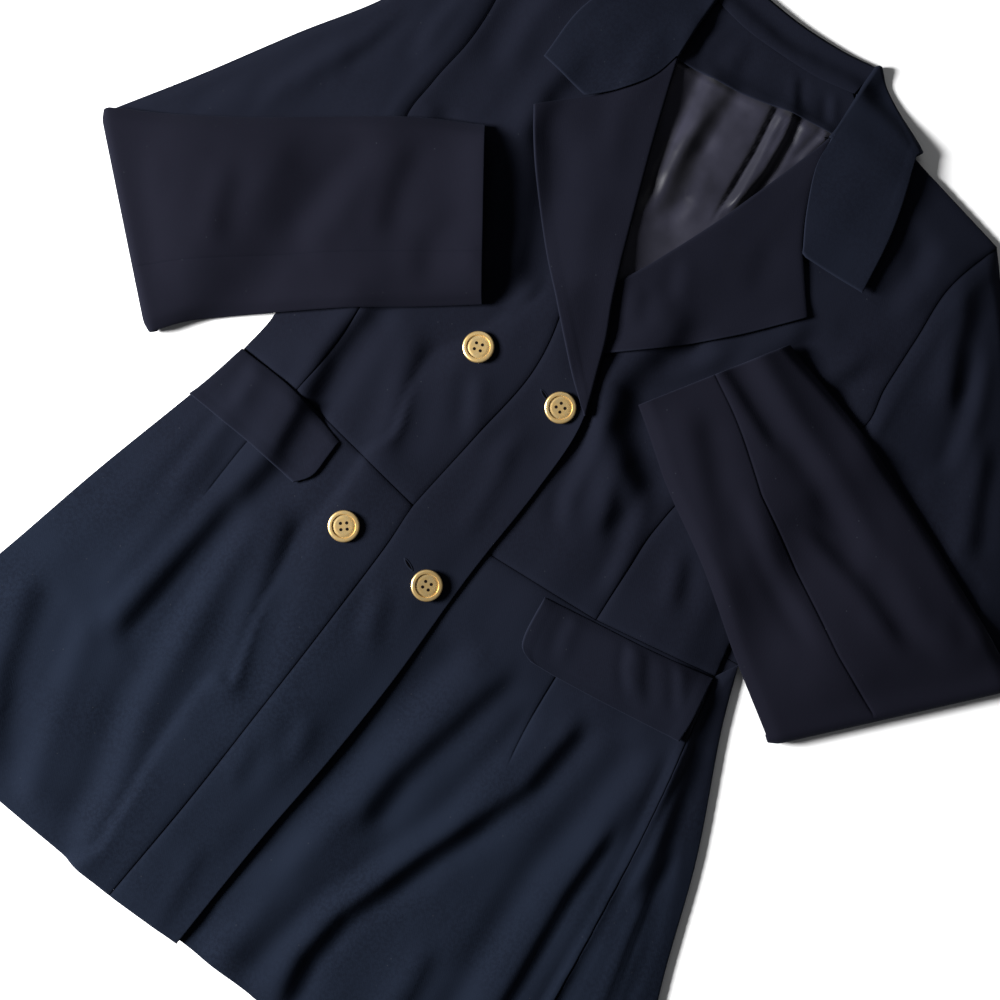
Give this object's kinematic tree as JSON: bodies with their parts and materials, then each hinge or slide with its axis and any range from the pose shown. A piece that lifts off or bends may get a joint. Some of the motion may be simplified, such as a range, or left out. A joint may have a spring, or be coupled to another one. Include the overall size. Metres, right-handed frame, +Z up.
{
  "type": "double-breasted blazer",
  "caption": "Long tailored double-breasted blazer laid flat with both sleeves folded across the front, notched lapels, hip pocket flaps and metal buttons.",
  "frame": {"origin": "on the floor under the centre back at the waist, where the underside of the back rests", "axes": "+X to the viewer's right of the garment seen front up, +Y from the hem to the neck, +Z up out of the floor"},
  "size_m": [0.7711, 0.7978, 0.0283],
  "materials": {
    "navy": "matte fine twill with a soft nap",
    "lining": "smooth satin sheen",
    "gold": "polished, with a brushed dish"
  },
  "bodies": {
    "root": {"back_bodice": "navy", "back_skirt": "navy", "back_lining": "lining", "neck_facing": "navy", "collar_stand": "navy", "collar": "navy", "right_front_bodice": "navy", "right_front_side": "navy", "right_front_skirt": "navy", "right_side_skirt": "navy", "right_flap": "navy", "right_lapel": "navy", "left_front_bodice": "navy", "left_front_band": "navy", "left_front_side": "navy", "left_front_skirt": "navy", "left_flap": "navy", "left_lapel": "navy", "left_top_sleeve": "navy", "left_under_sleeve": "navy", "left_sleeve_front_strip": "navy", "right_top_sleeve": "navy", "right_under_sleeve": "navy", "right_sleeve_front_strip": "navy", "button_1": "gold", "button_2": "gold", "button_3": "gold", "button_4": "gold"}
  },
  "joints": []
}
